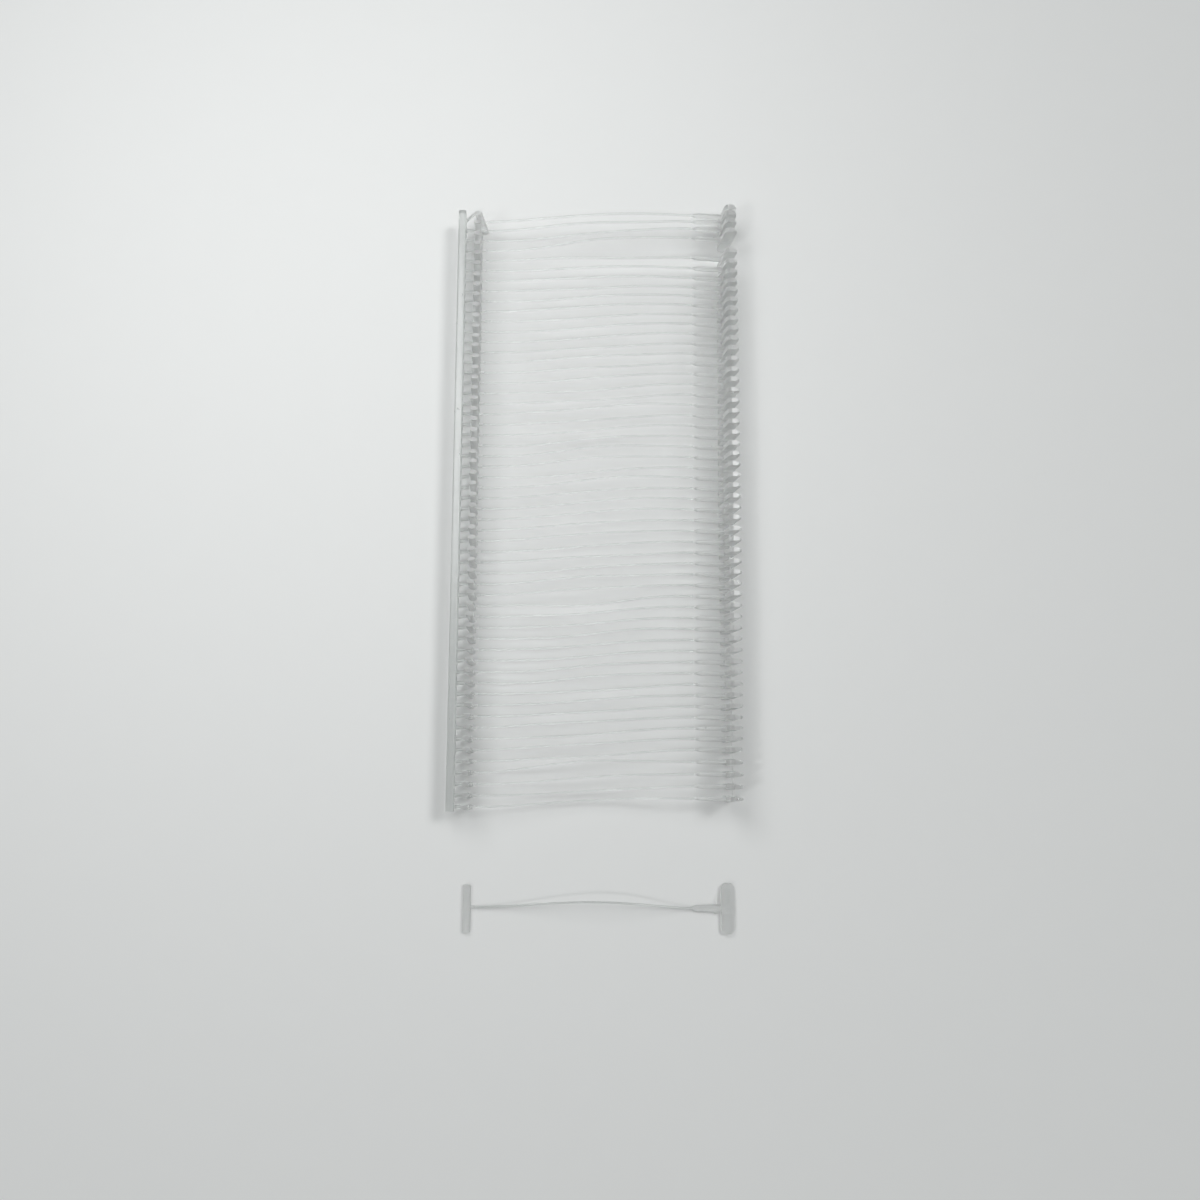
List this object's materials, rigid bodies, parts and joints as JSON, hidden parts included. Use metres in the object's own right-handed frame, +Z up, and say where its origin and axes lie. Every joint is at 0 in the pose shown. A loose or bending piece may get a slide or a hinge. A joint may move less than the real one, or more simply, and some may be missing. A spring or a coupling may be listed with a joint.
{
  "type": "tagging fastener clip",
  "caption": "Clip of clear plastic tagging fasteners: T-bars, drawn filaments and paddles in a row, held by thin necks on a runner bar, with one loose fastener in front.",
  "frame": {"origin": "on the surface it lies on, under the middle of the box around the clip and the loose fastener", "axes": "+X from the runner bar along the filaments to the paddles, +Y along the clip towards its head, away from the loose fastener, +Z up along the T-bars"},
  "size_m": [0.059, 0.15, 0.0099],
  "materials": {
    "natural_plastic": "natural translucent plastic with a soft gloss, clearer in the drawn filaments"
  },
  "bodies": {
    "runner": {"runner_bar": "natural_plastic"},
    "fastener_01": {"fastener_01": "natural_plastic"},
    "fastener_02": {"fastener_02": "natural_plastic"},
    "fastener_03": {"fastener_03": "natural_plastic"},
    "fastener_04": {"fastener_04": "natural_plastic"},
    "fastener_05": {"fastener_05": "natural_plastic"},
    "fastener_06": {"fastener_06": "natural_plastic"},
    "fastener_07": {"fastener_07": "natural_plastic"},
    "fastener_08": {"fastener_08": "natural_plastic"},
    "fastener_09": {"fastener_09": "natural_plastic"},
    "fastener_10": {"fastener_10": "natural_plastic"},
    "fastener_11": {"fastener_11": "natural_plastic"},
    "fastener_12": {"fastener_12": "natural_plastic"},
    "fastener_13": {"fastener_13": "natural_plastic"},
    "fastener_14": {"fastener_14": "natural_plastic"},
    "fastener_15": {"fastener_15": "natural_plastic"},
    "fastener_16": {"fastener_16": "natural_plastic"},
    "fastener_17": {"fastener_17": "natural_plastic"},
    "fastener_18": {"fastener_18": "natural_plastic"},
    "fastener_19": {"fastener_19": "natural_plastic"},
    "fastener_20": {"fastener_20": "natural_plastic"},
    "fastener_21": {"fastener_21": "natural_plastic"},
    "fastener_22": {"fastener_22": "natural_plastic"},
    "fastener_23": {"fastener_23": "natural_plastic"},
    "fastener_24": {"fastener_24": "natural_plastic"},
    "fastener_25": {"fastener_25": "natural_plastic"},
    "fastener_26": {"fastener_26": "natural_plastic"},
    "fastener_27": {"fastener_27": "natural_plastic"},
    "fastener_28": {"fastener_28": "natural_plastic"},
    "fastener_29": {"fastener_29": "natural_plastic"},
    "fastener_30": {"fastener_30": "natural_plastic"},
    "fastener_31": {"fastener_31": "natural_plastic"},
    "fastener_32": {"fastener_32": "natural_plastic"},
    "fastener_33": {"fastener_33": "natural_plastic"},
    "fastener_34": {"fastener_34": "natural_plastic"},
    "fastener_35": {"fastener_35": "natural_plastic"},
    "fastener_36": {"fastener_36": "natural_plastic"},
    "fastener_37": {"fastener_37": "natural_plastic"},
    "fastener_38": {"fastener_38": "natural_plastic"},
    "fastener_39": {"fastener_39": "natural_plastic"},
    "fastener_40": {"fastener_40": "natural_plastic"},
    "fastener_41": {"fastener_41": "natural_plastic"},
    "fastener_42": {"fastener_42": "natural_plastic"},
    "fastener_43": {"fastener_43": "natural_plastic"},
    "fastener_44": {"fastener_44": "natural_plastic"},
    "fastener_45": {"fastener_45": "natural_plastic"},
    "fastener_46": {"fastener_46": "natural_plastic"},
    "fastener_47": {"fastener_47": "natural_plastic"},
    "fastener_48": {"fastener_48": "natural_plastic"},
    "fastener_49": {"fastener_49": "natural_plastic"},
    "fastener_50": {"fastener_50": "natural_plastic"},
    "fastener_51": {"fastener_51": "natural_plastic"},
    "fastener_52": {"fastener_52": "natural_plastic"},
    "fastener_53": {"fastener_53": "natural_plastic"},
    "fastener_54": {"fastener_54": "natural_plastic"},
    "fastener_55": {"fastener_55": "natural_plastic"},
    "fastener_56": {"fastener_56": "natural_plastic"},
    "loose": {"loose_fastener": "natural_plastic"}
  },
  "joints": [
    {"name": "fastener_01_eject", "type": "slide", "parent": "runner", "child": "fastener_01", "axis": [0, 0, 1], "range_m": [0, 0.012]},
    {"name": "fastener_02_eject", "type": "slide", "parent": "runner", "child": "fastener_02", "axis": [0, 0, 1], "range_m": [0, 0.012]},
    {"name": "fastener_03_eject", "type": "slide", "parent": "runner", "child": "fastener_03", "axis": [0, 0, 1], "range_m": [0, 0.012]},
    {"name": "fastener_04_eject", "type": "slide", "parent": "runner", "child": "fastener_04", "axis": [0, 0, 1], "range_m": [0, 0.012]},
    {"name": "fastener_05_eject", "type": "slide", "parent": "runner", "child": "fastener_05", "axis": [0, 0, 1], "range_m": [0, 0.012]},
    {"name": "fastener_06_eject", "type": "slide", "parent": "runner", "child": "fastener_06", "axis": [0, 0, 1], "range_m": [0, 0.012]},
    {"name": "fastener_07_eject", "type": "slide", "parent": "runner", "child": "fastener_07", "axis": [0, 0, 1], "range_m": [0, 0.012]},
    {"name": "fastener_08_eject", "type": "slide", "parent": "runner", "child": "fastener_08", "axis": [0, 0, 1], "range_m": [0, 0.012]},
    {"name": "fastener_09_eject", "type": "slide", "parent": "runner", "child": "fastener_09", "axis": [0, 0, 1], "range_m": [0, 0.012]},
    {"name": "fastener_10_eject", "type": "slide", "parent": "runner", "child": "fastener_10", "axis": [0, 0, 1], "range_m": [0, 0.012]},
    {"name": "fastener_11_eject", "type": "slide", "parent": "runner", "child": "fastener_11", "axis": [0, 0, 1], "range_m": [0, 0.012]},
    {"name": "fastener_12_eject", "type": "slide", "parent": "runner", "child": "fastener_12", "axis": [0, 0, 1], "range_m": [0, 0.012]},
    {"name": "fastener_13_eject", "type": "slide", "parent": "runner", "child": "fastener_13", "axis": [0, 0, 1], "range_m": [0, 0.012]},
    {"name": "fastener_14_eject", "type": "slide", "parent": "runner", "child": "fastener_14", "axis": [0, 0, 1], "range_m": [0, 0.012]},
    {"name": "fastener_15_eject", "type": "slide", "parent": "runner", "child": "fastener_15", "axis": [0, 0, 1], "range_m": [0, 0.012]},
    {"name": "fastener_16_eject", "type": "slide", "parent": "runner", "child": "fastener_16", "axis": [0, 0, 1], "range_m": [0, 0.012]},
    {"name": "fastener_17_eject", "type": "slide", "parent": "runner", "child": "fastener_17", "axis": [0, 0, 1], "range_m": [0, 0.012]},
    {"name": "fastener_18_eject", "type": "slide", "parent": "runner", "child": "fastener_18", "axis": [0, 0, 1], "range_m": [0, 0.012]},
    {"name": "fastener_19_eject", "type": "slide", "parent": "runner", "child": "fastener_19", "axis": [0, 0, 1], "range_m": [0, 0.012]},
    {"name": "fastener_20_eject", "type": "slide", "parent": "runner", "child": "fastener_20", "axis": [0, 0, 1], "range_m": [0, 0.012]},
    {"name": "fastener_21_eject", "type": "slide", "parent": "runner", "child": "fastener_21", "axis": [0, 0, 1], "range_m": [0, 0.012]},
    {"name": "fastener_22_eject", "type": "slide", "parent": "runner", "child": "fastener_22", "axis": [0, 0, 1], "range_m": [0, 0.012]},
    {"name": "fastener_23_eject", "type": "slide", "parent": "runner", "child": "fastener_23", "axis": [0, 0, 1], "range_m": [0, 0.012]},
    {"name": "fastener_24_eject", "type": "slide", "parent": "runner", "child": "fastener_24", "axis": [0, 0, 1], "range_m": [0, 0.012]},
    {"name": "fastener_25_eject", "type": "slide", "parent": "runner", "child": "fastener_25", "axis": [0, 0, 1], "range_m": [0, 0.012]},
    {"name": "fastener_26_eject", "type": "slide", "parent": "runner", "child": "fastener_26", "axis": [0, 0, 1], "range_m": [0, 0.012]},
    {"name": "fastener_27_eject", "type": "slide", "parent": "runner", "child": "fastener_27", "axis": [0, 0, 1], "range_m": [0, 0.012]},
    {"name": "fastener_28_eject", "type": "slide", "parent": "runner", "child": "fastener_28", "axis": [0, 0, 1], "range_m": [0, 0.012]},
    {"name": "fastener_29_eject", "type": "slide", "parent": "runner", "child": "fastener_29", "axis": [0, 0, 1], "range_m": [0, 0.012]},
    {"name": "fastener_30_eject", "type": "slide", "parent": "runner", "child": "fastener_30", "axis": [0, 0, 1], "range_m": [0, 0.012]},
    {"name": "fastener_31_eject", "type": "slide", "parent": "runner", "child": "fastener_31", "axis": [0, 0, 1], "range_m": [0, 0.012]},
    {"name": "fastener_32_eject", "type": "slide", "parent": "runner", "child": "fastener_32", "axis": [0, 0, 1], "range_m": [0, 0.012]},
    {"name": "fastener_33_eject", "type": "slide", "parent": "runner", "child": "fastener_33", "axis": [0, 0, 1], "range_m": [0, 0.012]},
    {"name": "fastener_34_eject", "type": "slide", "parent": "runner", "child": "fastener_34", "axis": [0, 0, 1], "range_m": [0, 0.012]},
    {"name": "fastener_35_eject", "type": "slide", "parent": "runner", "child": "fastener_35", "axis": [0, 0, 1], "range_m": [0, 0.012]},
    {"name": "fastener_36_eject", "type": "slide", "parent": "runner", "child": "fastener_36", "axis": [0, 0, 1], "range_m": [0, 0.012]},
    {"name": "fastener_37_eject", "type": "slide", "parent": "runner", "child": "fastener_37", "axis": [0, 0, 1], "range_m": [0, 0.012]},
    {"name": "fastener_38_eject", "type": "slide", "parent": "runner", "child": "fastener_38", "axis": [0, 0, 1], "range_m": [0, 0.012]},
    {"name": "fastener_39_eject", "type": "slide", "parent": "runner", "child": "fastener_39", "axis": [0, 0, 1], "range_m": [0, 0.012]},
    {"name": "fastener_40_eject", "type": "slide", "parent": "runner", "child": "fastener_40", "axis": [0, 0, 1], "range_m": [0, 0.012]},
    {"name": "fastener_41_eject", "type": "slide", "parent": "runner", "child": "fastener_41", "axis": [0, 0, 1], "range_m": [0, 0.012]},
    {"name": "fastener_42_eject", "type": "slide", "parent": "runner", "child": "fastener_42", "axis": [0, 0, 1], "range_m": [0, 0.012]},
    {"name": "fastener_43_eject", "type": "slide", "parent": "runner", "child": "fastener_43", "axis": [0, 0, 1], "range_m": [0, 0.012]},
    {"name": "fastener_44_eject", "type": "slide", "parent": "runner", "child": "fastener_44", "axis": [0, 0, 1], "range_m": [0, 0.012]},
    {"name": "fastener_45_eject", "type": "slide", "parent": "runner", "child": "fastener_45", "axis": [0, 0, 1], "range_m": [0, 0.012]},
    {"name": "fastener_46_eject", "type": "slide", "parent": "runner", "child": "fastener_46", "axis": [0, 0, 1], "range_m": [0, 0.012]},
    {"name": "fastener_47_eject", "type": "slide", "parent": "runner", "child": "fastener_47", "axis": [0, 0, 1], "range_m": [0, 0.012]},
    {"name": "fastener_48_eject", "type": "slide", "parent": "runner", "child": "fastener_48", "axis": [0, 0, 1], "range_m": [0, 0.012]},
    {"name": "fastener_49_eject", "type": "slide", "parent": "runner", "child": "fastener_49", "axis": [0, 0, 1], "range_m": [0, 0.012]},
    {"name": "fastener_50_eject", "type": "slide", "parent": "runner", "child": "fastener_50", "axis": [0, 0, 1], "range_m": [0, 0.012]},
    {"name": "fastener_51_eject", "type": "slide", "parent": "runner", "child": "fastener_51", "axis": [0, 0, 1], "range_m": [0, 0.012]},
    {"name": "fastener_52_eject", "type": "slide", "parent": "runner", "child": "fastener_52", "axis": [0, 0, 1], "range_m": [0, 0.012]},
    {"name": "fastener_53_eject", "type": "slide", "parent": "runner", "child": "fastener_53", "axis": [0, 0, 1], "range_m": [0, 0.012]},
    {"name": "fastener_54_eject", "type": "slide", "parent": "runner", "child": "fastener_54", "axis": [0, 0, 1], "range_m": [0, 0.012]},
    {"name": "fastener_55_eject", "type": "slide", "parent": "runner", "child": "fastener_55", "axis": [0, 0, 1], "range_m": [0, 0.012]},
    {"name": "fastener_56_eject", "type": "slide", "parent": "runner", "child": "fastener_56", "axis": [0, 0, 1], "range_m": [0, 0.012]},
    {"name": "loose_fastener_lift", "type": "slide", "parent": "runner", "child": "loose", "axis": [0, 0, 1], "range_m": [0, 0.012]}
  ]
}
